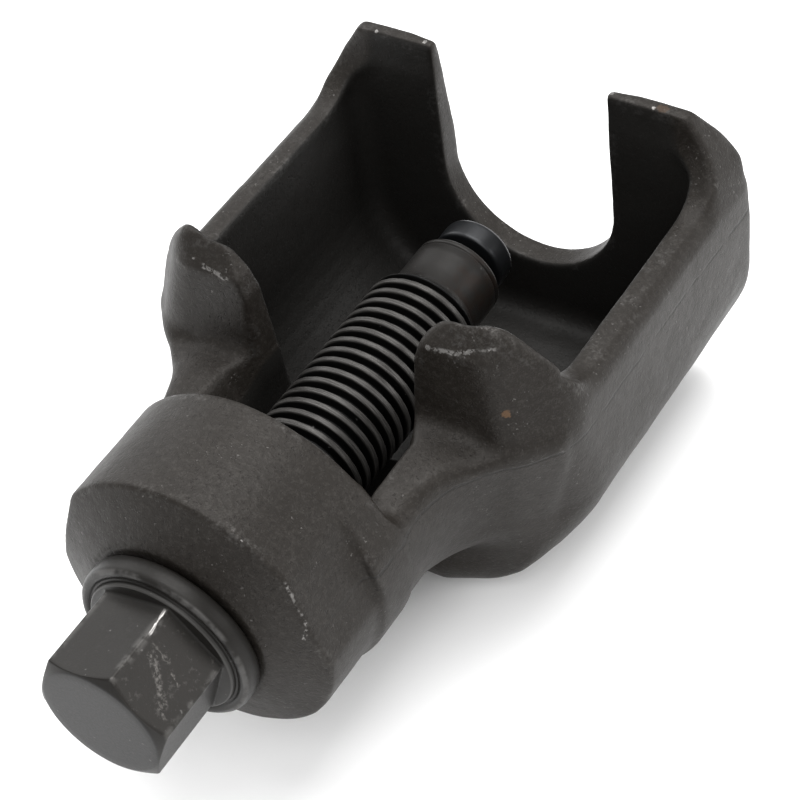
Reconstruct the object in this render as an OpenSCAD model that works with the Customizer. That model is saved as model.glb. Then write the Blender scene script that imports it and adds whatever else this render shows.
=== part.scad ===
// Forged ball joint separator. Millimetres.
// X is across the tool, Y runs along the screw towards the fork, Z points out of the open side.
// The origin is on the screw axis, in the plane of the prongs' bearing faces.

/* [Force screw] */
// Thread diameter over the crests
thread_d = 20; // [18:0.5:22]
// Thread pitch
thread_pitch = 2.5; // [2:0.25:3]
// Hexagon width across flats
hex_af = 21; // [19:0.5:24]
// Hexagon length in front of the collar
hex_len = 16.1; // [12:0.1:18]
// Collar diameter
collar_d = 30.5; // [28:0.5:34]
// Collar thickness
collar_t = 3.6; // [3:0.1:5]
// Plain nose diameter
nose_d = 16; // [14:0.5:16.5]
// Gap between collar and boss as shown
collar_gap = 0.7; // [0.65:0.05:3]
// Angle of the hexagon's corners from level
hex_turn = 10.6; // [0:0.2:60]

/* [Pressure pad] */
// Pad diameter
pad_d = 14; // [12:0.5:16]
// Pad thickness
pad_t = 4.2; // [3:0.1:5]
// Gap between nose and pad
pad_gap = 2.5; // [1:0.1:3]
// Pad shank diameter
shank_d = 7; // [6:0.5:8]
// Thrust ball diameter
ball_d = 6; // [5:0.5:6.5]

/* [Boss and neck] */
// Boss diameter
boss_d = 50; // [46:1:54]
// Boss length
boss_len = 25.1; // [22:0.1:30]
// Height of the neck arms above the screw axis
arm_top = 8; // [6:0.5:12]

/* [Bell] */
// Overall width
bell_w = 80; // [76:1:84]
// Side wall thickness at the rim
wall_t = 6; // [5:0.5:8]
// Height of the rim above the screw axis
rim_z = 12.5; // [10:0.5:15]
// Depth of the belly below the screw axis
belly_z = 35.5; // [33:0.5:38]
// Length from the neck wall to the bearing faces
bell_len = 62.6; // [60:0.2:66]
// Horn height above the screw axis
horn_z = 28; // [24:0.5:30]

/* [Fork] */
// Fork opening
fork_gap = 33.4; // [30:0.2:36]
// Prong tip height above the screw axis
tip_z = 26; // [24:0.5:28]
// End wall thickness at the opening
fork_t = 5.2; // [4:0.2:7]

/* [Hidden] */
$fn = 96;

// Stations along the screw, measured from the bearing faces
neck_wall_y = -bell_len;
boss_back_y = neck_wall_y - 20.3;
boss_front_y = boss_back_y - boss_len;
boss_ridge_y = boss_front_y + 3.9;
collar_back_y = boss_front_y - collar_gap;
collar_front_y = collar_back_y - collar_t;
hex_end_y = collar_front_y - hex_len;
thread_end_y = -35.3;
nose_end_y = -23.5;
pad_back_y = nose_end_y + pad_gap;
pad_face_y = pad_back_y + pad_t;

// Bell
half_w = bell_w / 2;
belly_r = 25;
belly_corner_x = half_w - belly_r;
pocket_y = neck_wall_y + 7.3;
pocket_half_w = half_w - wall_t;
end_bulge = 9.4;
slot_r = fork_gap / 2;
notch_half_w = 14.4;

// Boss: radius of the collar's seat, and the flats above the parting on its sides
seat_r = 16;
flat_x = 0.95 * boss_d / 2;
flat_tilt = 18.4;

// Running clearance and thread form
clear = 0.05;
thread_r = thread_d / 2;
root_r = thread_r - 0.61 * thread_pitch;
crest_flat = 0.3 * thread_pitch;
root_flat = 0.2 * thread_pitch;
undercut = 2.5;

// Swivel parts inside the nose
shank_r = shank_d / 2;
shank_len = 9;
ball_y = pad_back_y - shank_len - 0.02 - ball_d / 2;
socket_end_y = ball_y - ball_d / 2 - 0.02;
ring_y = nose_end_y - 3;
ring_t = 1;
ring_in_r = shank_r - 0.6;
ring_out_r = shank_r + 0.7;

// A flat outline in X and Z, carried along Y from y0 to y1
module along_y(y0, y1) {
    translate([0, y1, 0]) rotate([90, 0, 0]) linear_extrude(y1 - y0) children();
}

// A flat outline in Y and Z, carried across X
module along_x(width) {
    translate([-width / 2, 0, 0]) rotate([90, 0, 90]) linear_extrude(width) children();
}

// A solid of revolution about the screw axis, from an outline in radius and Y
module about_y() {
    rotate([-90, 0, 0]) rotate_extrude() children();
}

// A round bar along the screw axis
module bar(r, y0, y1) {
    translate([0, y0, 0]) rotate([-90, 0, 0]) cylinder(h = y1 - y0, r = r);
}

// Half outline and its mirror image in X
module both_sides() {
    children();
    mirror([1, 0, 0]) children();
}

// Points on an arc, for outlines
function arc(cx, cy, r, from, to, steps) =
    [for (i = [0:steps]) [cx + r * cos(from + (to - from) * i / steps),
                          cy + r * sin(from + (to - from) * i / steps)]];

// Cross-section of the bell: upright sides, rounded belly, shoulders taken off towards the tips
module bell_section() {
    translate([-belly_corner_x, -belly_z]) square([2 * belly_corner_x, belly_z]);
    both_sides() {
        translate([belly_corner_x, belly_r - belly_z]) circle(r = belly_r);
        polygon([[0, belly_r - belly_z], [half_w, belly_r - belly_z], [half_w, rim_z],
                 [36.5, 18], [33, 24], [30, horn_z], [0, horn_z]]);
    }
}

// Cross-section of the pocket inside the bell
module pocket_section() {
    pocket_r = belly_r - wall_t;
    pocket_x = pocket_half_w - pocket_r;
    floor_z = belly_z - wall_t;
    translate([-pocket_x, -floor_z]) square([2 * pocket_x, floor_z]);
    both_sides() {
        translate([pocket_x, pocket_r - floor_z]) circle(r = pocket_r);
        translate([0, pocket_r - floor_z]) square([pocket_half_w, 2 * horn_z]);
    }
}

// Side view: horns at the neck end, level rim, hollow sweep up to the prong tips
module bell_profile() {
    polygon(concat(
        [[neck_wall_y + 3.8, -belly_z], [neck_wall_y, 5], [neck_wall_y + 2.3, 23],
         [neck_wall_y + 3, 25.5], [neck_wall_y + 5, horn_z], [neck_wall_y + 6.3, horn_z - 0.3],
         [neck_wall_y + 13, rim_z + 2], [neck_wall_y + 15.5, rim_z]],
        arc(-10, rim_z + 10, 10, -90, 0, 10),
        [[0.3, tip_z], [2.6, tip_z], [end_bulge, 5], [end_bulge, -8]],
        arc(end_bulge - 13, -belly_z + 15, 13, -5, -85, 8),
        [[end_bulge - 16, -belly_z]]));
}

// Plan view: sloping shoulders from the neck, straight sides, end wall thinner at the opening
module bell_plan() {
    both_sides()
        polygon(concat(
            [[0, neck_wall_y], [31, neck_wall_y], [36.6, neck_wall_y + 5.5],
             [39, neck_wall_y + 9], [half_w, neck_wall_y + 12]],
            arc(half_w - 6, end_bulge - 6, 6, 0, 90, 8),
            [[slot_r, fork_t], [0, fork_t]]));
}

// Neck: half-round trough from the boss to the bell, with gussets that widen into the shoulders
module neck() {
    intersection() {
        bar(boss_d / 2 + 0.3, boss_back_y - 1, pocket_y);
        translate([-50, boss_back_y - 1, -50]) cube([100, 60, 50 + arm_top]);
    }
    translate([0, 0, -14]) linear_extrude(14 + arm_top)
        both_sides() polygon([[0, -72], [25, -72], [31, neck_wall_y], [31, pocket_y], [0, pocket_y]]);
}

// Boss: round, with a long chamfer down to the seat of the collar and a flat on each side
module boss() {
    difference() {
        about_y() polygon([[0, boss_front_y], [seat_r, boss_front_y], [boss_d / 2 - 0.8, boss_ridge_y - 0.5],
                           [boss_d / 2, boss_ridge_y + 0.8], [boss_d / 2, boss_back_y - 0.8],
                           [boss_d / 2 - 0.8, boss_back_y], [0, boss_back_y]]);
        both_sides() rotate([0, -flat_tilt, 0]) translate([flat_x, boss_front_y - 1, -boss_d / 2])
            cube([boss_d / 2, boss_len - 6.6, boss_d]);
    }
}

// Opening for the screw between the horns and down the neck
module screw_notch() {
    along_y(boss_back_y, pocket_y + 0.5) {
        circle(r = notch_half_w);
        polygon([[-notch_half_w, 0], [notch_half_w, 0], [notch_half_w + 1, 20],
                 [notch_half_w + 4.5, 40], [-notch_half_w - 4.5, 40], [-notch_half_w - 1, 20]]);
    }
}

// Fork opening, cut right through the end wall
module fork_opening() {
    along_y(-1, 20) {
        circle(r = slot_r);
        translate([-slot_r, 0]) square([fork_gap, 2 * tip_z]);
    }
}

// Clearance bore for the screw, chamfered at both ends
module screw_bore() {
    r = thread_r + clear;
    bar(r, boss_front_y - 1, boss_back_y + 1);
    about_y() {
        polygon([[0, boss_front_y - 0.1], [r + 1.1, boss_front_y - 0.1], [0, boss_front_y + r + 1]]);
        polygon([[0, boss_back_y + 0.1], [r + 1.1, boss_back_y + 0.1], [0, boss_back_y - r - 1]]);
    }
}

module forged_body() {
    color([0.23, 0.22, 0.21])
    difference() {
        union() {
            intersection() {
                along_y(neck_wall_y - 1, end_bulge + 1) bell_section();
                along_x(2 * half_w + 2) bell_profile();
                translate([0, 0, -50]) linear_extrude(100) bell_plan();
            }
            neck();
            boss();
        }
        along_y(pocket_y, 0) pocket_section();
        screw_notch();
        fork_opening();
        screw_bore();
    }
}

// Outline of the thread grooves: rings at the pitch of the thread
module thread_outline(y0, y1) {
    turns = floor((y1 - y0) / thread_pitch);
    flank = (thread_pitch - crest_flat - root_flat) / 2;
    points = [for (i = [0:turns - 1])
                 let (y = y1 - (turns - i) * thread_pitch)
                 each [[root_r, y], [root_r, y + root_flat],
                       [thread_r, y + root_flat + flank],
                       [thread_r, y + root_flat + flank + crest_flat]]];
    polygon(concat([[0, y0]], [[root_r, y0]], points, [[root_r, y1], [0, y1]]));
}

// Head: hexagon with turned end chamfer
module hexagon_drive() {
    corner_r = hex_af / 2 / cos(30);
    intersection() {
        translate([0, hex_end_y, 0]) rotate([-90, 0, 0]) rotate([0, 0, -hex_turn])
            cylinder(h = hex_len + 2, r = corner_r, $fn = 6);
        about_y() polygon([[0, hex_end_y], [hex_af / 2 - 0.6, hex_end_y], [corner_r + 1, hex_end_y + 1.7],
                           [corner_r + 1, collar_front_y + 2], [0, collar_front_y + 2]]);
    }
}

// Collar with a rounded lip, a dished groove and a low ring round the foot of the hexagon
module collar() {
    lip_r = collar_d / 2;
    about_y() polygon([[0, collar_front_y - 0.6], [hex_af / 2 + 1, collar_front_y - 0.6],
                       [hex_af / 2 + 1.6, collar_front_y + 0.5], [lip_r - 1.6, collar_front_y + 0.3],
                       [lip_r - 1.1, collar_front_y], [lip_r - 0.3, collar_front_y + 0.5],
                       [lip_r, collar_front_y + 1.3], [lip_r, collar_back_y - 0.5],
                       [lip_r - 0.5, collar_back_y], [0, collar_back_y]]);
}

module force_screw() {
    color([0.2, 0.2, 0.2])
    difference() {
        union() {
            hexagon_drive();
            collar();
            bar(root_r, collar_back_y - 1, collar_back_y + undercut + 1);
            about_y() thread_outline(collar_back_y + undercut, thread_end_y);
            about_y() polygon([[0, thread_end_y - 1], [root_r, thread_end_y - 1], [root_r, thread_end_y],
                               [nose_d / 2, thread_end_y + 1], [nose_d / 2, nose_end_y - 0.8],
                               [nose_d / 2 - 0.8, nose_end_y], [0, nose_end_y]]);
        }
        bar(shank_r + clear, socket_end_y, nose_end_y + 1);
        bar(ring_out_r + clear, ring_y - ring_t / 2 - clear, ring_y + ring_t / 2 + clear);
    }
}

module pressure_pad() {
    color([0.3, 0.32, 0.36])
    difference() {
        union() {
            about_y() polygon([[0, pad_back_y], [pad_d / 2 - 0.4, pad_back_y], [pad_d / 2, pad_back_y + 0.4],
                               [pad_d / 2, pad_face_y - 0.6], [pad_d / 2 - 0.6, pad_face_y], [0, pad_face_y]]);
            bar(shank_r, pad_back_y - shank_len, pad_back_y + 1);
        }
        difference() {
            bar(shank_r + 1, ring_y - ring_t / 2 - clear, ring_y + ring_t / 2 + clear);
            bar(ring_in_r - clear, ring_y - ring_t, ring_y + ring_t);
        }
    }
}

// Split ring that holds the pad's shank in the nose
module retaining_ring() {
    color([0.5, 0.5, 0.52])
    difference() {
        bar(ring_out_r, ring_y - ring_t / 2, ring_y + ring_t / 2);
        bar(ring_in_r, ring_y - ring_t, ring_y + ring_t);
        translate([0, ring_y - ring_t, -0.6]) cube([2 * ring_out_r, 2 * ring_t, 1.2]);
    }
}

module thrust_ball() {
    color([0.7, 0.7, 0.72]) translate([0, ball_y, 0]) sphere(r = ball_d / 2);
}

forged_body();
force_screw();
pressure_pad();
retaining_ring();
thrust_ball();
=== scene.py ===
"""Forged ball joint separator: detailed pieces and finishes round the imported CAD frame."""

import math

import bpy
import numpy as np
from mathutils import Matrix, Vector, noise


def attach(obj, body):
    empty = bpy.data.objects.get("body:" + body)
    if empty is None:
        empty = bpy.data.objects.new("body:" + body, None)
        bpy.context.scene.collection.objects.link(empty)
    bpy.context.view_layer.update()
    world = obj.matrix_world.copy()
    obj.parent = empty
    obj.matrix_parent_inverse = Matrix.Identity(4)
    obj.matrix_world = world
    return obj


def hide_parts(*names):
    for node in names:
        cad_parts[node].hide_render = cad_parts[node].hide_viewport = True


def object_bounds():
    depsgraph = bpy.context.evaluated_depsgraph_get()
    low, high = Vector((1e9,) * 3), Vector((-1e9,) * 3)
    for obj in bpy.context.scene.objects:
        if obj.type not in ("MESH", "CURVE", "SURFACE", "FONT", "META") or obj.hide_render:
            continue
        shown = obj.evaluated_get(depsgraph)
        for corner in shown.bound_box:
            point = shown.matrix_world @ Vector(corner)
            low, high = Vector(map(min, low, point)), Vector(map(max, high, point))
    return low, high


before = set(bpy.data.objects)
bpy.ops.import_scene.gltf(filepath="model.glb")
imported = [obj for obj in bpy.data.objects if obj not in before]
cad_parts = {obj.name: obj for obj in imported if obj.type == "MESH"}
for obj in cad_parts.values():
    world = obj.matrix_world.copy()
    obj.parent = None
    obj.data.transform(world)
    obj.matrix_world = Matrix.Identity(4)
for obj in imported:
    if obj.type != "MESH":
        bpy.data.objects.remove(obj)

cad_low, cad_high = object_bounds()
MM = 0.001

# ---------------------------------------------------------------- signed distance fields, in mm


def smooth_min(a, b, k):
    h = np.maximum(k - np.abs(a - b), 0) / k
    return np.minimum(a, b) - h * h * k / 4


def smooth_max(a, b, k):
    return -smooth_min(-a, -b, k)


def arc(cu, cv, r, start, end, steps=10):
    """Points on an arc, angles in degrees."""
    angles = [math.radians(start + (end - start) * i / steps) for i in range(steps + 1)]
    return [(cu + r * math.cos(a), cv + r * math.sin(a)) for a in angles]


def outline(u, v, points):
    """Signed distance from (u, v) to a closed outline, negative inside."""
    u, v = np.broadcast_arrays(u, v)
    nearest = np.full(u.shape, 1e9)
    inside = np.zeros(u.shape, bool)
    for (au, av), (bu, bv) in zip(points, points[1:] + points[:1]):
        eu, ev = bu - au, bv - av
        t = np.clip(((u - au) * eu + (v - av) * ev) / (eu * eu + ev * ev), 0, 1)
        nearest = np.minimum(nearest, (u - au - t * eu) ** 2 + (v - av - t * ev) ** 2)
        if ev:
            crosses = (v >= min(av, bv)) & (v < max(av, bv))
            inside ^= crosses & (u < au + (v - av) * eu / ev)
    return np.where(inside, -1, 1) * np.sqrt(nearest)


def blurred(field, sigma):
    """Gaussian blur by sigma cells, which rounds every edge and fillet a little."""
    reach = int(math.ceil(sigma * 3))
    weights = [math.exp(-0.5 * (i / sigma) ** 2) for i in range(-reach, reach + 1)]
    for axis in range(3):
        margins = [(reach, reach) if a == axis else (0, 0) for a in range(3)]
        padded = np.pad(field, margins, mode="edge")
        size = field.shape[axis]
        parts = (w * padded.take(range(i, i + size), axis) for i, w in enumerate(weights))
        field = sum(parts) / sum(weights)
    return field


def sampled(field, low, step, points):
    """Trilinear values of a field at points."""
    place = (points - low) / step
    cell = np.clip(place.astype(int), 0, np.array(field.shape) - 2)
    f = np.clip(place - cell, 0, 1)
    total = 0
    for c in np.ndindex(2, 2, 2):
        weight = np.prod(np.where(c, f, 1 - f), axis=1)
        total = total + weight * field[tuple((cell + c).T)]
    return total


def gradient(field, low, step, points):
    """Slope of a field at points, over one cell."""
    moves = np.eye(3) * step * 0.5
    rise = [sampled(field, low, step, points + m) - sampled(field, low, step, points - m)
            for m in moves]
    return np.stack(rise, axis=1) / step


def surface_net(field, low, step):
    """Points and quads of the zero surface of a field, one point for each cell that it crosses."""
    inside = field < 0
    size = np.array(field.shape) - 1
    near = sum(inside[i:i + size[0], j:j + size[1], k:k + size[2]].astype(np.int8)
               for i, j, k in np.ndindex(2, 2, 2))
    cells = np.argwhere((near > 0) & (near < 8))
    index = np.full(size, -1, np.int32)
    index[tuple(cells.T)] = np.arange(len(cells))
    total, hits = np.zeros((len(cells), 3)), np.zeros(len(cells))
    for c in np.ndindex(2, 2, 2):
        for axis in range(3):
            if c[axis]:
                continue
            d = np.array(c)
            d[axis] = 1
            a, b = field[tuple((cells + c).T)], field[tuple((cells + d).T)]
            cross = (a < 0) != (b < 0)
            t = a[cross] / (a[cross] - b[cross])
            total[cross] += np.array(c) + t[:, None] * (d - c)
            hits[cross] += 1
    points = low + step * (cells + total / hits[:, None])
    quads = []
    for axis in range(3):
        one, u, v = np.eye(3, dtype=int)[[axis, (axis + 1) % 3, (axis + 2) % 3]]
        here = inside[tuple(slice(0 if o else 1, -1) for o in one)]
        ahead = inside[tuple(slice(1, None) if o else slice(1, -1) for o in one)]
        for flag, turn in ((here & ~ahead, 1), (~here & ahead, -1)):
            at = np.argwhere(flag) + 1 - one
            ring = [index[tuple((at - m).T)] for m in (u + v, v, 0 * u, u)]
            quads.append(np.stack(ring[::turn], axis=1))
    return points, np.concatenate(quads)


def mesh_object(name, points, faces, body, nodes):
    """A smooth mesh in metres from points in mm, riding on a body in place of CAD nodes."""
    mesh = bpy.data.meshes.new(name)
    mesh.vertices.add(len(points))
    mesh.vertices.foreach_set("co", (np.asarray(points) * MM).astype(np.float32).ravel())
    counts = np.array([len(f) for f in faces])
    corners = faces.ravel() if isinstance(faces, np.ndarray) else np.concatenate(faces)
    starts = np.concatenate([[0], np.cumsum(counts)[:-1]])
    mesh.loops.add(len(corners))
    mesh.loops.foreach_set("vertex_index", corners.astype(np.int32))
    mesh.polygons.add(len(counts))
    mesh.polygons.foreach_set("loop_start", starts.astype(np.int32))
    mesh.polygons.foreach_set("loop_total", counts.astype(np.int32))
    mesh.update(calc_edges=True)
    mesh.validate()
    mesh.shade_smooth()
    piece = bpy.data.objects.new(name, mesh)
    bpy.context.scene.collection.objects.link(piece)
    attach(piece, body)
    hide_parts(*nodes)
    return piece


def point_values(piece, name, values):
    """Store one number for each point, for a finish to read."""
    attribute = piece.data.attributes.new(name, "FLOAT", "POINT")
    attribute.data.foreach_set("value", values.astype(np.float32))


# ---------------------------------------------------------------- the forging
# Half sections are drawn for x >= 0 and mirrored. Their outlines run past the middle to ACROSS.

ACROSS = -10
HALF_WIDTH = 39.98
PARTING = 5.0
BELLY_Z, ARM_Z, RIM_Z, TIP_Z = -35.4, 8.0, 12.5, 26.0
WALL_Y, POCKET_Y = -62.6, -55.3
BOSS_FRONT, BOSS_BACK = -108.0, -82.9
BOSS_R, NECK_R, SLOT_R, TROUGH_R = 25.1, 25.4, 16.7, 14.3
BORE_R, BORE_MOUTH_R = 10.35, 11.6
UP_DRAFT = 0.12
PRONG_FROM_Y = -30


def shoulders(ax, y, z):
    """The slanted walls that widen from the neck to the sides, drafted above and below PARTING."""
    upper = 0.721 * ax - 0.603 * y + 0.26 * z - 63.2
    lower = 0.751 * ax - 0.628 * y - 0.207 * z - 62.7
    return smooth_max(upper, lower, 0.8)


def bell_section(ax, y, z):
    """Outside of the bell across the axis, with horns in front and prongs behind."""
    half = [(ACROSS, BELLY_Z)] + arc(10.2, BELLY_Z + 30, 30, -90, 0, 14)
    horn = [(40.3, 5), (39.9, 10), (38.9, 15.2), (36.4, 20.8), (33.2, 24.5), (29.6, 27.5),
            (26.5, 28.4), (ACROSS, 28.6)]
    prong = [(40.4, 4), (40.0, 10), (38.4, 15), (35.6, 20.6), (31.8, TIP_Z + 0.5), (ACROSS, 30)]
    return np.where(y < PRONG_FROM_Y, outline(ax, z, half + horn), outline(ax, z, half + prong))


def bell_profile(y, z):
    """Outside of the bell along the axis: belly, front wall, horn, rim, prong and end wall."""
    belly_front = arc(WALL_Y + 13.5, BELLY_Z + 11, 11, -90, -175, 8)
    horn = [(WALL_Y, PARTING), (WALL_Y + 1.8, 23.3), (WALL_Y + 6.3, 28.7), (WALL_Y + 7.2, 28.3),
            (WALL_Y + 11.4, 18)]
    rim = arc(-44.5, RIM_Z + 8.3, 8, -155, -90, 6) + arc(-10, RIM_Z + 10.3, 10, -90, 0, 10)
    prong = [(0.2, TIP_Z + 0.3), (2.9, TIP_Z + 0.3), (5.8, 21.5), (8.5, 15.5), (9.6, PARTING),
             (9.6, -8)]
    belly_back = arc(-4.4, BELLY_Z + 14, 14, 0, -90, 8)
    return outline(y, z, belly_front + horn + rim + prong + belly_back)


def bell_plan(ax, y, z):
    """Outside of the bell from above, with the end wall bulging towards its corners."""
    corner = arc(36.2, 5.4, 4.2, 0, 90, 8)
    plan = outline(ax, y, [(ACROSS, -90), (39.8, -90), (39.8, -14), (40.4, -2)] + corner
                   + [(ACROSS, 9.6)])
    bulge = np.clip((ax - SLOT_R) / 16, 0, 1)
    end = y - 5.4 - 4.0 * bulge * bulge * (3 - 2 * bulge)
    return smooth_max(plan, end + UP_DRAFT * np.maximum(z - PARTING, 0), 2.0)


def bell_shell(ax, y, z):
    """Outside of the bell with its horns and prongs; its belly is swept forward under the neck."""
    deep = np.clip((-12 - z) / 14, 0, 1)
    swept = y + (0.46 * np.clip(27 - ax, 0, 11) - 1.0) * deep
    softness = 1.2 + 2.6 * np.clip((15 - z) / 3, 0, 1) * np.clip((z - 2) / 3, 0, 1)
    shell = smooth_max(bell_section(ax, y, z), bell_profile(swept, z), softness)
    shell = smooth_max(shell, bell_plan(ax, y, z), 1.2)
    return smooth_max(shell, shoulders(ax, y, z) - 0.2 - 1.7 * deep, 2.6 + 2.0 * deep)


def pocket(ax, y, z):
    """Hollow inside the bell."""
    section = [(ACROSS, BELLY_Z + 6)] + arc(14.6, BELLY_Z + 25, 19, -90, 0, 10)
    section += [(33.5, PARTING), (33.7, 12), (33.2, 16), (30.6, 20), (30.6, 60), (ACROSS, 60)]
    front = POCKET_Y - y - 0.05 * z
    return smooth_max(smooth_max(outline(ax, z, section), y, 4.0), front, 9.0)


def neck(ax, y, z, radius):
    """The round wall under the screw with its flat-topped arms, and the gussets at its sides."""
    wall = smooth_max(radius - NECK_R, z - ARM_Z - 0.1 * np.maximum(y + 66, 0), 2.5)
    wall = np.maximum(wall, np.maximum(y - POCKET_Y, -90 - y))
    gusset = smooth_max(shoulders(ax, y, z), z - ARM_Z, 2.5)
    gusset = smooth_max(gusset, -20 - z, 8.0)
    gusset = np.maximum(gusset, np.maximum(ax - 38, y + 56))
    return wall, np.maximum(gusset, -78 - y)


def boss(ax, y, z, radius):
    """Round boss with its long front chamfer and a flat on each side above the parting."""
    turned = outline(radius, y, [(ACROSS, BOSS_FRONT), (15.8, BOSS_FRONT),
                                 (BOSS_R, BOSS_FRONT + 3.9), (BOSS_R, BOSS_BACK),
                                 (ACROSS, BOSS_BACK)])
    flat = np.minimum(0.949 * ax + 0.316 * z - 23.7, -90.3 - y)
    return smooth_max(turned, flat, 0.4)


def screw_channel(ax, y, z, radius):
    """Open channel for the screw: a trough in the neck that turns into a slot between the horns."""
    slot = [(ACROSS, 0), (14.2, 0), (14.4, 6), (15.2, 20), (16.4, 23.6), (19.0, 26.8),
            (23.5, 29.2), (26, 60), (ACROSS, 60)]
    trough = [(ACROSS, 0), (14.2, 0), (17.6, 8.5), (20, 40), (ACROSS, 40)]
    slot = smooth_min(radius - TROUGH_R, outline(ax, z, slot), 0.5)
    trough = smooth_min(radius - TROUGH_R, outline(ax, z, trough), 1.0)
    channel = slot + (trough - slot) * np.clip((-61 - y) / 6, 0, 1)
    return np.maximum(channel, np.maximum(BOSS_BACK - y, y - POCKET_Y - 1.5))


def forging_field(x, y, z):
    """The whole forging without its threaded hole."""
    ax = np.abs(x)
    radius = np.sqrt(x * x + z * z)
    wall, gusset = neck(ax, y, z, radius)
    body = smooth_min(bell_shell(ax, y, z), gusset, 2.0)
    body = smooth_min(body, wall, 4.0)
    body = smooth_min(body, boss(ax, y, z, radius), 3.0)
    body = smooth_max(body, -pocket(ax, y, z), 1.0)
    body = smooth_max(body, -screw_channel(ax, y, z, radius), 1.0)
    fork = np.minimum(radius - SLOT_R, np.maximum(ax - SLOT_R, -z))
    fork = np.maximum(fork, -4 - y)
    return smooth_max(body, -fork, 0.6)


def bore_field(y, radius):
    """Threaded hole with a chamfer at each mouth."""
    mouth = np.minimum(np.maximum(BOSS_FRONT - y, y - BOSS_BACK), 0.5)
    return np.minimum(radius - BORE_R, (radius - BORE_MOUTH_R - mouth) * 0.707)


def unevenness(points, scale, seed):
    """Noise at each point, with features of about scale mm."""
    shift = Vector((seed * 7.1, seed * 3.7, seed * 5.3))
    return np.array([noise.noise(Vector(p) / scale + shift) for p in points])


def build_forging():
    """The skin of the forging, with what its finish needs to know about each point."""
    step = 0.5
    edge_round, edge_reach = 0.35, 1.6
    low, high = np.array([-42.0, -110.0, -38.0]), np.array([42.0, 12.0, 31.0])
    counts = (high - low) / step
    x, y, z = (low[a] + step * np.arange(int(counts[a]) + 1) for a in range(3))
    x, y, z = x[:, None, None], y[None, :, None], z[None, None, :]
    field = blurred(forging_field(x, y, z), edge_round / step)
    field = np.maximum(field, -bore_field(y, np.sqrt(x * x + z * z)))
    points, quads = surface_net(field, low, step)
    for _ in range(3):
        g = gradient(field, low, step, points)
        pull = sampled(field, low, step, points)[:, None] * g / np.sum(g * g, axis=1)[:, None]
        points = points - pull
    normals = gradient(field, low, step, points)
    normals /= np.linalg.norm(normals, axis=1)[:, None]
    edge = sampled(blurred(field, edge_reach / step), low, step, points) / 0.35
    radius = np.hypot(points[:, 0], points[:, 2])
    ax, y, z = np.abs(points[:, 0]), points[:, 1], points[:, 2]
    # inner is 1 inside the bell and round the screw's channel; the forged finish paints shade
    # there.
    hollow = np.minimum(pocket(ax, y, z), np.maximum(radius - 15.2, -y - 90))
    inner = np.clip(1.6 - hollow / 0.5, 0, 1) * (y > -82)
    outer = np.clip((ax - 22) / 3, 0, 1) * (z > 0) * (hollow > 3)
    bumps = 0.10 * unevenness(points, 9.0, 1) + 0.05 * unevenness(points, 3.5, 2) - 0.14
    points = points + normals * bumps[:, None] * (radius > 16)[:, None]
    points[:, 0] = np.clip(points[:, 0], -HALF_WIDTH, HALF_WIDTH)
    piece = mesh_object("forged_body_skin", points, quads, "body", ["forged_body"])
    for name, values in (("edge", np.clip(edge, -1, 1)), ("inner", inner), ("outer", outer)):
        point_values(piece, name, values)
    return piece


# ---------------------------------------------------------------- the screw and its pad

PITCH = 2.5
ROOT_R, CREST_R = 8.475, 10.0
HEX_FLAT, HEX_ROUNDING, HEX_CLOCKING = 10.5, 0.55, 90 - 10.6
END_FACE_R, CHAMFER_SLOPE = 10.3, 0.56
COLLAR_R, NOSE_R, SOCKET_R, RING_GROOVE_R = 15.25, 8.0, 3.55, 4.25
HEX_END, COLLAR_FRONT, COLLAR_BACK = -128.4, -112.3, -108.7
THREAD_START, THREAD_END, NOSE_END = -106.2, -34.1, -23.5
SOCKET_END, RING_Y, GROOVE_HALF = -36.04, -26.5, 0.55
PAD_BACK, PAD_FACE, PAD_R = -21.0, -16.8, 6.6
PAD_SHANK_R, PAD_GROOVE_R, PAD_SHANK = 3.5, 2.85, 9.0


def offset_rows(base, pairs):
    """Rows of a lathe from pairs of radius and distance past base."""
    return [(r, base + d) for r, d in pairs]


def lathe(name, angles, rows, tips, body, nodes):
    """A closed skin round the Y axis: rows of radius and Y, with a point at each end."""
    count = len(angles)
    sin, cos = np.sin(angles), np.cos(angles)
    rings = [np.stack([r * sin, y + 0 * sin, r * cos], axis=1) for r, y in rows]
    points = np.concatenate([[[0, tips[0], 0]]] + rings + [[[0, tips[1], 0]]])
    near = np.arange(count)
    far = (near + 1) % count
    starts = 1 + count * np.arange(len(rows) - 1)[:, None]
    quads = np.stack([starts + near, starts + near + count, starts + far + count, starts + far],
                     axis=2)
    last = 1 + count * (len(rows) - 1)
    caps = [[0, 1 + a, 1 + b] for a, b in zip(near, far)]
    caps += [[last + b, last + a, len(points) - 1] for a, b in zip(near, far)]
    faces = [tuple(f) for f in quads.reshape(-1, 4).tolist()] + caps
    return mesh_object(name, points, faces, body, nodes)


def thread_radius(y, angles):
    """Radius over a right-hand thread that fades in and out at its ends."""
    phase = (y / PITCH - angles / (2 * math.pi)) % 1.0
    height = np.clip((np.abs(phase - 0.5) - 0.14) / 0.18, 0, 1)
    height = height * height * (3 - 2 * height) * 0.25 + height * 0.75
    fade = np.clip(min((y - THREAD_START) / 2.2, (THREAD_END - y) / 1.9), 0, 1)
    return ROOT_R + (CREST_R - ROOT_R) * height * fade


def hexagon_offsets():
    """Angles from a corner of the hexagon, closer together near the corners."""
    side = np.array([0, 0.5, 1.0, 1.5, 2.3, 3.5, 5, 7, 9.5, 12, 15, 18, 21, 24, 27])
    sector = np.concatenate([side, 60 - side[:0:-1], [30.0]])
    sector.sort()
    return np.radians(np.concatenate([sector + 60 * k for k in range(6)]))


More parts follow.
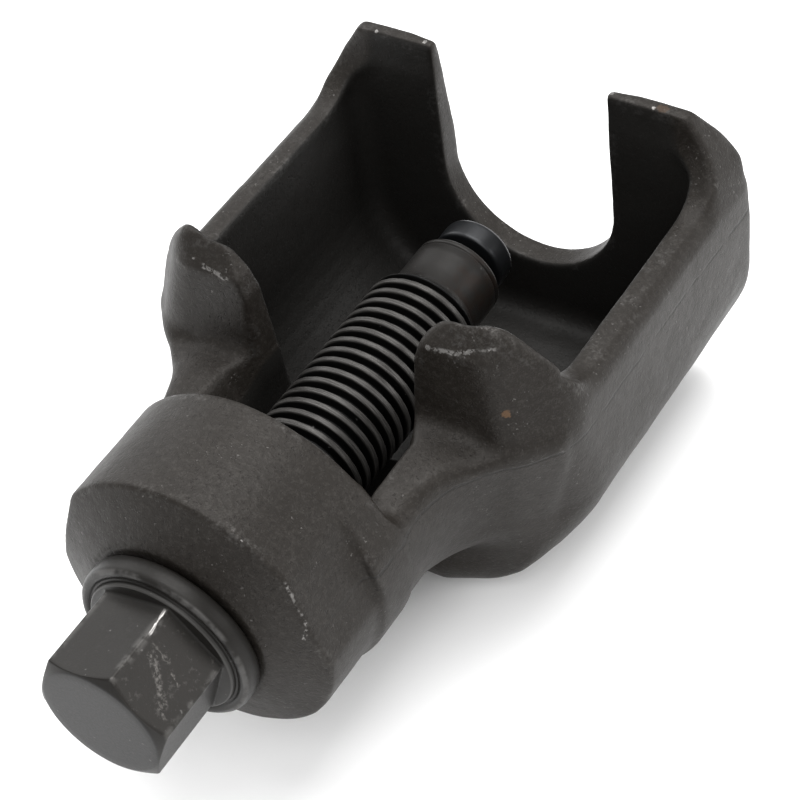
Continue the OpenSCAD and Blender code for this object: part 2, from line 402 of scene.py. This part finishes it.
def hexagon_radius(offset):
    """Radius of a hexagon with rounded corners at angles from a corner."""
    apart = np.abs((offset + math.pi / 6) % (math.pi / 3) - math.pi / 6)
    centre = (HEX_FLAT - HEX_ROUNDING) / math.cos(math.pi / 6)
    reach = HEX_ROUNDING ** 2 - (centre * np.sin(apart)) ** 2
    corner = centre * np.cos(apart) + np.sqrt(np.maximum(reach, 0))
    tangent = math.atan(HEX_ROUNDING / 2 / (centre + HEX_ROUNDING * math.cos(math.pi / 6)))
    return np.where(apart < tangent, corner, HEX_FLAT / np.cos(math.pi / 6 - apart))


def head_rows(hexagon):
    """End face, chamfer and flats of the hexagon, down to its foot on the collar."""
    rows = offset_rows(HEX_END, ((3.0, 0.0), (6.0, 0.0), (8.6, 0.0), (9.9, 0.01), (10.2, 0.06)))
    for t in (0.06, 0.25, 0.5, 0.75, 0.93, 1.0):
        r = END_FACE_R + (hexagon - END_FACE_R) * t
        lip = 0.12 * max(t - 0.93, 0) / 0.07
        rows.append((r, HEX_END + 0.1 + (r - END_FACE_R) * CHAMFER_SLOPE + lip))
    start = HEX_END + 0.1 + (hexagon - END_FACE_R) * CHAMFER_SLOPE + 0.12
    foot = COLLAR_FRONT - 0.6
    for t in (0.03, 0.1, 0.25, 0.4, 0.55, 0.7, 0.85, 0.95):
        rows.append((hexagon, start + (foot - 0.5 - start) * t))
    for grow, d in ((0, -0.5), (0.05, -0.25), (0.16, -0.09), (0.32, 0)):
        rows.append((hexagon + grow, foot + d))
    return rows


def collar_rows(hexagon):
    """The dished front of the collar round the hexagon, its rim and its back."""
    radii, depths = zip((0, -0.6), (12.55, -0.6), (12.75, -0.52), (12.85, -0.3), (12.88, 0.25),
                        (13.0, 0.42), (13.25, 0.46), (13.42, 0.36), (13.6, 0.18), (13.85, 0.05),
                        (14.2, 0.0), (14.55, 0.05), (14.85, 0.2), (15.1, 0.5), (COLLAR_R, 1.1))
    rows = []
    for i, r in enumerate(radii[1:]):
        radius = np.maximum(r, hexagon + 0.34 + 0.004 * i)
        rows.append((radius, COLLAR_FRONT + np.interp(radius, radii, depths)))
    rows.append((COLLAR_R, COLLAR_FRONT + 2.2))
    return rows + offset_rows(COLLAR_BACK, ((COLLAR_R, -0.5), (15.1, -0.15), (14.75, 0),
                                            (11.0, 0), (9.2, 0), (8.7, 0.15), (ROOT_R, 0.6)))


def nose_rows():
    """The plain nose past the thread, with its groove, its rounded end and its socket."""
    rows = offset_rows(THREAD_END, ((ROOT_R - 0.05, 0.3), (8.15, 0.75), (NOSE_R, 1.1)))
    rows += [(NOSE_R, -30.0), (NOSE_R, -27.0)]
    rows += offset_rows(NOSE_END, ((NOSE_R, -1.75), (7.96, -1.7), (7.75, -1.62), (7.75, -1.42),
                                   (7.95, -1.34), (NOSE_R, -1.28), (7.98, -0.7), (7.78, -0.35),
                                   (7.3, -0.1), (7.0, 0), (5.0, 0), (3.9, 0), (3.6, -0.25),
                                   (SOCKET_R, -0.4)))
    rows += offset_rows(RING_Y, ((SOCKET_R, GROOVE_HALF), (RING_GROOVE_R, GROOVE_HALF),
                                 (RING_GROOVE_R, -GROOVE_HALF), (SOCKET_R, -GROOVE_HALF)))
    return rows + offset_rows(SOCKET_END, ((SOCKET_R, 0.4), (3.4, 0), (1.5, 0)))


def build_screw():
    offset = hexagon_offsets()
    angles = math.radians(HEX_CLOCKING) + offset
    hexagon = hexagon_radius(offset)
    turns = (THREAD_END - THREAD_START) / PITCH
    heights = np.linspace(THREAD_START, THREAD_END, int(turns * (24)))
    thread = [(thread_radius(y, angles), y) for y in heights]
    rows = head_rows(hexagon) + collar_rows(hexagon) + thread + nose_rows()
    return lathe("force_screw_turned", angles, rows, (HEX_END, SOCKET_END), "screw",
                 ["force_screw"])


def build_pad():
    angles = np.radians(np.arange(0, 360, 3.0))
    rows = offset_rows(PAD_FACE, ((0.6, -0.28), (1.1, -0.22), (1.6, -0.03), (2.0, 0), (4.5, 0),
                                  (6.0, 0), (6.3, -0.06), (6.48, -0.22), (6.58, -0.5),
                                  (PAD_R, -0.9)))
    rows += offset_rows(PAD_BACK, ((PAD_R, 0.8), (6.58, 0.4), (6.45, 0.14), (6.2, 0.02), (5.9, 0),
                                   (4.4, 0), (3.8, -0.12), (3.55, -0.35), (PAD_SHANK_R, -0.7)))
    rows += offset_rows(RING_Y, ((PAD_SHANK_R, GROOVE_HALF), (PAD_GROOVE_R, GROOVE_HALF),
                                 (PAD_GROOVE_R, -GROOVE_HALF), (PAD_SHANK_R, -GROOVE_HALF)))
    rows += offset_rows(PAD_BACK, ((PAD_SHANK_R, 0.4 - PAD_SHANK), (3.2, -PAD_SHANK),
                                   (1.5, -PAD_SHANK)))
    rows = [(r + 0 * angles, y) for r, y in rows]
    return lathe("pressure_pad_turned", -angles, rows, (PAD_FACE - 0.3, PAD_BACK - PAD_SHANK),
                 "pad", ["pressure_pad"])


# ---------------------------------------------------------------- finishes
# Positions and distances in the finishes are in mm, in each piece's own coordinates.


class Finish:
    """A metal finish built from shader nodes; a value may be a number or a node's socket."""

    def __init__(self, name):
        self.material = bpy.data.materials.new(name)
        self.material.use_nodes = True
        self.tree = self.material.node_tree
        self.shader = self.tree.nodes["Principled BSDF"]
        here = self.node("ShaderNodeTexCoord").outputs["Object"]
        self.place = self.vector("MULTIPLY", here, (1000, 1000, 1000))
        split = self.node("ShaderNodeSeparateXYZ", {0: self.place})
        self.x, self.y, self.z = split.outputs
        across = self.add(self.square(self.x), self.square(self.z))
        self.radius = self.maths("POWER", across, 0.5)

    def node(self, kind, values=None, **settings):
        node = self.tree.nodes.new(kind)
        for key, value in settings.items():
            setattr(node, key, value)
        for key, value in (values or {}).items():
            self.fill(node.inputs[key], value)
        return node

    def fill(self, socket, value):
        if isinstance(value, bpy.types.NodeSocket):
            self.tree.links.new(value, socket)
        else:
            socket.default_value = value

    def maths(self, operation, a, b=0.0):
        return self.node("ShaderNodeMath", {0: a, 1: b}, operation=operation).outputs[0]

    def vector(self, operation, a, b):
        return self.node("ShaderNodeVectorMath", {0: a, 1: b}, operation=operation).outputs[0]

    def dot(self, a, b):
        node = self.node("ShaderNodeVectorMath", {0: a, 1: b}, operation="DOT_PRODUCT")
        return node.outputs["Value"]

    def length(self, a):
        return self.node("ShaderNodeVectorMath", {0: a}, operation="LENGTH").outputs["Value"]

    def add(self, a, b):
        return self.maths("ADD", a, b)

    def times(self, a, b):
        return self.maths("MULTIPLY", a, b)

    def square(self, a):
        return self.maths("MULTIPLY", a, a)

    def larger(self, a, b):
        return self.maths("MAXIMUM", a, b)

    def invert(self, a):
        return self.maths("SUBTRACT", 1.0, a)

    def centred(self, a):
        """A value of 0 to 1 moved to -0.5 to 0.5."""
        return self.maths("SUBTRACT", a, 0.5)

    def grain(self, scale, detail=3.0, roughness=0.55, stretch=(1, 1, 1)):
        """Fractal noise, 0 to 1, with about scale features in each mm."""
        place = self.vector("MULTIPLY", self.place, stretch)
        values = {"Vector": place, "Scale": scale, "Detail": detail, "Roughness": roughness}
        return self.node("ShaderNodeTexNoise", values).outputs[0]

    def step(self, value, low, high, start=0.0, end=1.0):
        """Smooth ramp from start to end while the value goes from low to high."""
        ramp = self.node("ShaderNodeMapRange", {0: value, 1: low, 2: high, 3: start, 4: end})
        ramp.interpolation_type = "SMOOTHSTEP"
        return ramp.outputs[0]

    def band(self, value, centre, half, soft):
        """1 within half of the centre, fading to 0 over soft."""
        off = self.maths("ABSOLUTE", self.maths("SUBTRACT", value, centre))
        return self.step(off, half, half + soft, 1.0, 0.0)

    def spot(self, centre, size, ragged=0.5, scale=1.2):
        """A patch with a broken outline round a point."""
        reach = self.length(self.vector("SUBTRACT", self.place, centre))
        shift = self.times(self.centred(self.grain(scale)), 2 * ragged * size)
        return self.step(self.add(reach, shift), size * 0.7, size, 1.0, 0.0)

    def scratch(self, start, end, half, wander=0.3):
        """A fine line between two points that wanders a little."""
        a, b = Vector(start), Vector(end)
        along = tuple((b - a).normalized())
        away = self.vector("SUBTRACT", self.place, start)
        t = self.dot(away, along)
        foot = self.node("ShaderNodeVectorMath", {0: along, "Scale": t}, operation="SCALE")
        gap = self.length(self.vector("SUBTRACT", away, foot.outputs[0]))
        gap = self.add(gap, self.times(self.centred(self.grain(0.7, 2)), wander))
        reach = (b - a).length / 2
        ends = self.band(t, reach, reach - 0.4, 0.8)
        line = self.step(self.maths("ABSOLUTE", gap), half * 0.5, half, 1.0, 0.0)
        return self.times(line, ends)

    def mix(self, amount, a, b):
        blend = self.node("ShaderNodeMix", {0: amount}, data_type="RGBA")
        for socket, colour in ((blend.inputs[6], a), (blend.inputs[7], b)):
            linked = isinstance(colour, bpy.types.NodeSocket)
            self.fill(socket, colour if linked else (*colour, 1))
        return blend.outputs[2]

    def attribute(self, name):
        return self.node("ShaderNodeAttribute", attribute_name=name).outputs["Fac"]

    def finish(self, colour, roughness, metallic, height, depth, specular=0.5):
        """Wire up the shader; height times depth, in mm, is the relief of the bump."""
        for key, value in (("Base Color", colour), ("Roughness", roughness),
                           ("Metallic", metallic), ("Specular IOR Level", specular)):
            self.fill(self.shader.inputs[key], value)
        values = {"Height": height, "Distance": depth * MM, "Strength": 1.0}
        bump = self.node("ShaderNodeBump", values)
        self.tree.links.new(bump.outputs[0], self.shader.inputs["Normal"])
        return self.material


STEEL = (0.42, 0.41, 0.40)
CHIPPED = (0.30, 0.29, 0.28)
SCUFFED = (0.20, 0.19, 0.18)
RUST = (0.100, 0.060, 0.035)

# Start, end and half width of the worn lines on the forging, then centre and size of its nicks.
WORN_LINES = (
    ((22.5, -104.6, 8.0), (21.6, -105.4, 5.0), 0.35),
    ((18.6, -60.4, 23.1), (23.6, -60.0, 23.9), 0.55),
    ((23.6, -60.0, 23.9), (29.0, -57.9, 25.3), 0.45),
    ((-18.6, -60.4, 23.1), (-23.6, -60.0, 23.9), 0.45),
    ((16.9, -0.2, 26.0), (30.0, -0.2, 26.0), 0.25),
    ((-16.9, -0.2, 26.0), (-30.0, -0.2, 26.0), 0.25),
    ((16.7, 2.8, 26.0), (16.7, 3.4, 21.0), 0.30),
)
NICKS = (
    ((20.7, -104.2, 13.2), 0.40), ((22.4, -104.6, 8.2), 0.45), ((18.5, -60.4, 23.3), 0.55),
    ((21.0, -60.2, 23.6), 0.45), ((25.2, -59.4, 24.2), 0.50), ((-20.5, -60.3, 23.5), 0.50),
    ((-25.5, -59.3, 24.3), 0.45), ((17.4, 1.6, 26.0), 0.50), ((25.5, 1.0, 26.0), 0.40),
    ((-18.6, 1.4, 26.0), 0.50), ((-28.0, 0.8, 26.0), 0.40), ((12.9, -103.8, 21.6), 0.40),
    ((-12.9, -103.8, 22.0), 0.35), ((4.5, -104.0, 25.0), 0.30),
)
# Start, end and half width of the scratches on the hexagon flat that faces the photograph's side.
HEX_SCRATCHES = (
    ((5.4, -119.5, 9.8), (9.9, -124.6, 4.6), 0.9),
    ((6.9, -121.4, 8.1), (10.6, -125.6, 3.7), 0.5),
    ((4.9, -118.6, 10.4), (7.6, -118.8, 7.3), 0.35),
    ((8.1, -119.4, 6.7), (9.6, -120.4, 4.9), 0.25),
)
# Angle of the hexagon flat that carries the scuffs and a painted highlight over its whole face.
SCUFFED_LIT_FLAT = math.radians(40.6)


def forging_damage(f):
    """Worn lines and nicks on the forging, 0 to 1."""
    broken = f.step(f.grain(1.5, 3, 0.65), 0.44, 0.56)
    damage = f.times(f.scratch((19.6, -104.2, 15.6), (22.5, -104.6, 8.0), 0.55, 0.9), broken)
    for start, stop, half in WORN_LINES:
        damage = f.larger(damage, f.times(f.scratch(start, stop, half, 0.8), broken))
    for centre, size in NICKS:
        damage = f.larger(damage, f.spot(centre, size, 0.8, 2.2))
    side_mark = f.scratch((29.5, -54.8, -12.0), (31.8, -53.0, -7.5), 0.10, 0.8)
    return f.larger(damage, f.times(side_mark, 0.5))


def forging_rust(f):
    """Rust spots on the right horn and arm, and faintly on the end of the right prong."""
    rust = f.spot((31.4, -60.7, 14.6), 0.85, 0.7, 1.8)
    rust = f.larger(rust, f.times(f.spot((20.7, -66.2, 8.6), 0.30), 0.6))
    return f.larger(rust, f.times(f.spot((27.0, 1.4, 25.9), 1.1, 0.9), 0.3))


def forged_finish():
    """Dark phosphate over a blasted forging, worn bright on its proudest edges, with painted shade
    inside the bell and round the screw's channel.
    """
    f = Finish("forged_phosphate")
    fine, medium, broad = f.grain(3.6, 2), f.grain(1.1, 4, 0.6), f.grain(0.07, 3)
    inner = f.attribute("inner")
    colour = f.mix(broad, (0.0106, 0.0087, 0.0071), (0.0162, 0.0136, 0.0112))
    # Dust is held back inside, which keeps the hollows darker as painted shade.
    dusty = f.times(f.step(f.times(fine, medium), 0.20, 0.42), f.invert(inner))
    colour = f.mix(f.times(dusty, 0.42), colour, (0.043, 0.039, 0.035))
    dark = f.step(f.grain(1.7, 3), 0.56, 0.72)
    colour = f.mix(f.times(dark, 0.45), colour, (0.008, 0.007, 0.0065))
    # Painted shade: inside the bell and round the screw's channel the colour is set to an even tone
    # without dust, darker than outside.
    colour = f.mix(f.times(inner, 0.75), colour, (0.0135, 0.0132, 0.0124))
    wander = f.times(f.centred(f.grain(0.35)), 1.2)
    seam = f.band(f.add(f.z, wander), PARTING, 0.14, 0.28)
    seam = f.times(seam, f.step(f.attribute("outer"), 0.2, 0.8))
    seam = f.times(seam, f.step(f.grain(0.22), 0.36, 0.5))
    colour = f.mix(f.times(seam, 0.75), colour, (0.012, 0.011, 0.010))
    wear = f.add(f.attribute("edge"), f.times(f.centred(f.grain(1.3, 4, 0.65)), 1.5))
    wear = f.times(f.step(wear, 0.90, 1.35), f.step(f.grain(0.2, 3), 0.46, 0.62))
    colour = f.mix(f.times(wear, 0.11), colour, STEEL)
    nicks = forging_damage(f)
    colour = f.mix(f.times(nicks, 0.55), colour, CHIPPED)
    specks = f.times(f.step(f.grain(1.7, 2), 0.66, 0.72), f.step(f.grain(0.13, 2), 0.52, 0.62))
    # Specks are held back inside too, as part of the painted shade there.
    colour = f.mix(f.times(specks, f.times(0.38, f.invert(inner))), colour, SCUFFED)
    rust = forging_rust(f)
    colour = f.mix(rust, colour, RUST)
    bare = f.larger(wear, nicks)
    roughness = f.add(f.times(f.grain(0.6), 0.16), f.step(bare, 0, 1, 0.40, 0.30))
    roughness = f.add(roughness, f.times(rust, 0.3))
    height = f.add(f.times(fine, 0.35), f.add(f.times(medium, 0.9), f.times(dark, -0.5)))
    height = f.add(height, f.add(f.times(seam, -0.7), f.times(nicks, -0.5)))
    return f.finish(colour, roughness, f.step(bare, 0, 1, 0.2, 0.8), height, 0.085, 0.2)


def head_scuffs(f, head, scuffed_lit_flat):
    """Scratches over the hexagon, strongest on its scuffed flat."""
    ragged = f.step(f.grain(1.6, 4, 0.7), 0.40, 0.62)
    scuff = f.times(f.step(f.grain(0.8, 4, 0.7), 0.55, 0.68), 0.35)
    for start, stop, half in HEX_SCRATCHES:
        scuff = f.larger(scuff, f.scratch(start, stop, half, 1.6))
    return f.times(f.times(scuff, ragged), f.times(scuffed_lit_flat, head))


def head_corners(f, head):
    """Worn corners of the hexagon, with two bright dents."""
    worn = f.times(head, f.step(f.grain(0.5, 3), 0.42, 0.6))
    worn = f.times(f.step(f.radius, 11.55, 11.95), worn)
    corner = f.scratch((3.7, -113.4, 11.3), (4.2, -118.0, 11.2), 0.26, 0.5)
    corner = f.larger(f.times(worn, 0.12), corner)
    dent = f.scratch((6.0, -119.0, 9.4), (9.4, -116.0, 6.2), 0.14, 0.9)
    return f.larger(corner, f.times(dent, 0.6))


def collar_lips(f):
    """Wear on the outer rim and the inner lip of the collar's dished front."""
    rim = f.times(f.band(f.y, -112.2, 0.2, 0.5), f.step(f.grain(0.3), 0.4, 0.62))
    rim = f.times(f.band(f.radius, 14.75, 0.25, 0.35), rim)
    inner = f.times(f.band(f.radius, 12.75, 0.08, 0.18), f.band(f.y, -112.7, 0.3, 0.2))
    return f.larger(rim, f.times(inner, 0.6))


def screw_finish():
    """Black oxide over turned steel: bright thread crests, painted shade in the thread grooves,
    scuffs on the hexagon flats and a painted highlight over the whole flat that faces the camera.
    """
    f = Finish("turned_black_oxide")
    lines = f.grain(1.0, 4, 0.7, (0.25, 7.0, 0.25))
    cloud, fine = f.grain(0.16, 3), f.grain(2.6, 3, 0.6)
    shank = f.step(f.y, -108.6, -107.6)
    colour = f.mix(cloud, (0.0100, 0.0092, 0.0083), (0.0150, 0.0138, 0.0124))
    crest = f.times(f.step(f.radius, 9.7, 9.93), f.times(shank, f.step(f.y, -33.4, -34.4)))
    # Painted shade: the thread grooves are darkened almost to black.
    groove = f.times(f.step(f.radius, 9.85, 9.5), f.times(shank, f.step(f.y, -33.9, -34.6)))
    colour = f.mix(groove, colour, (0.0022, 0.0021, 0.0020))
    rubbed = f.times(crest, f.step(lines, 0.36, 0.64, 0.2, 1.0))
    colour = f.mix(rubbed, colour, (0.068, 0.065, 0.062))
    nose = f.step(f.y, -33.9, -33.3)
    colour = f.mix(f.times(nose, 0.6), colour, (0.016, 0.015, 0.014))
    tarnish = f.times(f.step(f.x, 1.5, 5.5), f.step(f.grain(0.5, 4), 0.40, 0.62))
    tarnish = f.times(nose, tarnish)
    colour = f.mix(f.times(tarnish, 0.6), colour, (0.017, 0.0105, 0.0075))
    end = f.step(f.y, -128.2, -128.35)
    colour = f.mix(f.times(end, 0.75), colour, (0.0098, 0.0098, 0.0100))
    head = f.step(f.y, -113.2, -113.6)
    normal = (math.cos(SCUFFED_LIT_FLAT), 0, math.sin(SCUFFED_LIT_FLAT))
    scuffed_lit_flat = f.step(f.dot(f.place, normal), 10.2, 10.4, 0.15, 1.0)
    scuff = head_scuffs(f, head, scuffed_lit_flat)
    # Partly scuffs, partly a painted highlight: the whole flat that faces the camera is lightened.
    colour = f.mix(f.times(scuffed_lit_flat, f.times(head, 0.5)), colour, (0.024, 0.022, 0.020))
    colour = f.mix(f.times(scuff, 0.36), colour, SCUFFED)
    corner = head_corners(f, head)
    colour = f.mix(corner, colour, CHIPPED)
    colour = f.mix(f.times(collar_lips(f), 0.12), colour, STEEL)
    specks = f.step(f.grain(0.9, 1), 0.76, 0.80)
    colour = f.mix(f.times(specks, 0.4), colour, (0.15, 0.145, 0.14))
    bright = f.larger(f.larger(scuff, corner), f.times(crest, 0.3))
    roughness = f.add(f.step(bright, 0, 1, 0.40, 0.33), f.times(f.centred(fine), 0.2))
    turning = f.times(lines, f.add(f.times(shank, 0.5), 0.12))
    height = f.add(turning, f.add(f.times(fine, 0.25), f.times(scuff, -0.4)))
    return f.finish(colour, roughness, f.step(bright, 0, 1, 0.3, 0.7), height, 0.05, 0.2)


def pad_finish():
    """Hardened and blued steel with fine turning rings and a painted highlight round the rim of its
    face.
    """
    f = Finish("blued_steel")
    rings = f.grain(1.0, 3, 0.6, (0.3, 6.0, 0.3))
    cloud = f.grain(0.3, 3)
    colour = f.mix(cloud, (0.0115, 0.0125, 0.0142), (0.0142, 0.0148, 0.0160))
    # Painted highlight: a thin bright bluish ring along the rim of the pad's face.
    rim = f.times(f.step(f.radius, 6.3, 6.5), f.band(f.y, -16.9, 0.25, 0.2))
    colour = f.mix(f.times(rim, 0.15), colour, (0.30, 0.30, 0.32))
    roughness = f.add(0.3, f.times(cloud, 0.08))
    return f.finish(colour, roughness, 0.6, f.times(rings, 0.6), 0.02)


def bright_finish(name, tone, rough):
    """Drawn or ground bright steel, with faint marks."""
    f = Finish(name)
    marks = f.grain(2.0, 4, 0.6, (1.0, 3.0, 1.0))
    colour = f.mix(marks, tuple(0.8 * c for c in tone), tone)
    return f.finish(colour, f.add(rough, f.times(marks, 0.1)), 0.95, marks, 0.01)


# ---------------------------------------------------------------- camera, lights and stage


def build_camera():
    """Three-quarter view from the hexagon end, above and to the right, slightly rolled."""
    azimuth, elevation, roll = math.radians(37.68), math.radians(45.48), math.radians(-9.13)
    distance, target = 0.38695, Vector((0.00458, -0.0514, -0.00273))
    level = math.cos(elevation)
    back = Vector((math.sin(azimuth) * level, -math.cos(azimuth) * level, math.sin(elevation)))
    right = Vector((math.cos(azimuth), math.sin(azimuth), 0))
    up = back.cross(right)
    cos, sin = math.cos(roll), math.sin(roll)
    right, up = right * cos + up * sin, up * cos - right * sin
    camera = bpy.data.objects.new("camera", bpy.data.cameras.new("camera"))
    camera.matrix_world = Matrix((right, up, back)).transposed().to_4x4()
    camera.location = target + back * distance
    camera.data.lens = 106.26
    camera.data.sensor_width = 36
    camera.data.clip_start = 0.01
    bpy.context.scene.collection.objects.link(camera)
    bpy.context.scene.camera = camera


def area_light(name, place, target, size, power):
    """A white rectangular light of some watts that faces the target."""
    light = bpy.data.lights.new(name, "AREA")
    light.shape = "RECTANGLE"
    light.size, light.size_y = size
    light.energy = power
    lamp = bpy.data.objects.new(name, light)
    lamp.location = place
    lamp.rotation_mode = "QUATERNION"
    lamp.rotation_quaternion = (Vector(place) - Vector(target)).to_track_quat("Z", "Y")
    bpy.context.scene.collection.objects.link(lamp)


def build_studio():
    middle = (0, -0.05, 0)
    area_light("key", (0.45, -0.65, 0.95), middle, (0.7, 0.7), 5.5)
    area_light("left", (-0.9, 0.25, 0.65), middle, (0.8, 0.8), 5.5)
    area_light("top", (0.0, 0.25, 1.1), middle, (0.9, 0.9), 15)
    area_light("right", (0.95, 0.6, 0.45), middle, (0.7, 0.5), 4.5)
    world = bpy.data.worlds.new("studio")
    world.use_nodes = True
    background = world.node_tree.nodes["Background"]
    background.inputs["Color"].default_value = (1, 1, 1, 1)
    background.inputs["Strength"].default_value = 0.75
    bpy.context.scene.world = world
    bpy.context.scene.view_settings.view_transform = "Standard"


def build_floor():
    half, ground = 1.6, cad_low.z - 0.0002
    corners = [(-half, -half, ground), (half, -half, ground), (half, half, ground),
               (-half, half, ground)]
    mesh = bpy.data.meshes.new("floor")
    mesh.from_pydata(corners, [], [(0, 1, 2, 3)])
    floor = bpy.data.objects.new("floor", mesh)
    bpy.context.scene.collection.objects.link(floor)
    material = bpy.data.materials.new("pale_floor")
    material.use_nodes = True
    shader = material.node_tree.nodes["Principled BSDF"]
    shader.inputs["Base Color"].default_value = (0.93, 0.93, 0.93, 1)
    shader.inputs["Roughness"].default_value = 0.9
    mesh.materials.append(material)


forging = build_forging()
screw, pad = build_screw(), build_pad()
forging.data.materials.append(forged_finish())
screw.data.materials.append(screw_finish())
pad.data.materials.append(pad_finish())
for node, finish in (("retaining_ring", bright_finish("spring_wire", (0.42, 0.42, 0.43), 0.25)),
                     ("thrust_ball", bright_finish("ground_ball", (0.75, 0.75, 0.77), 0.08))):
    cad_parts[node].data.materials.clear()
    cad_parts[node].data.materials.append(finish)
build_camera()
build_studio()
build_floor()
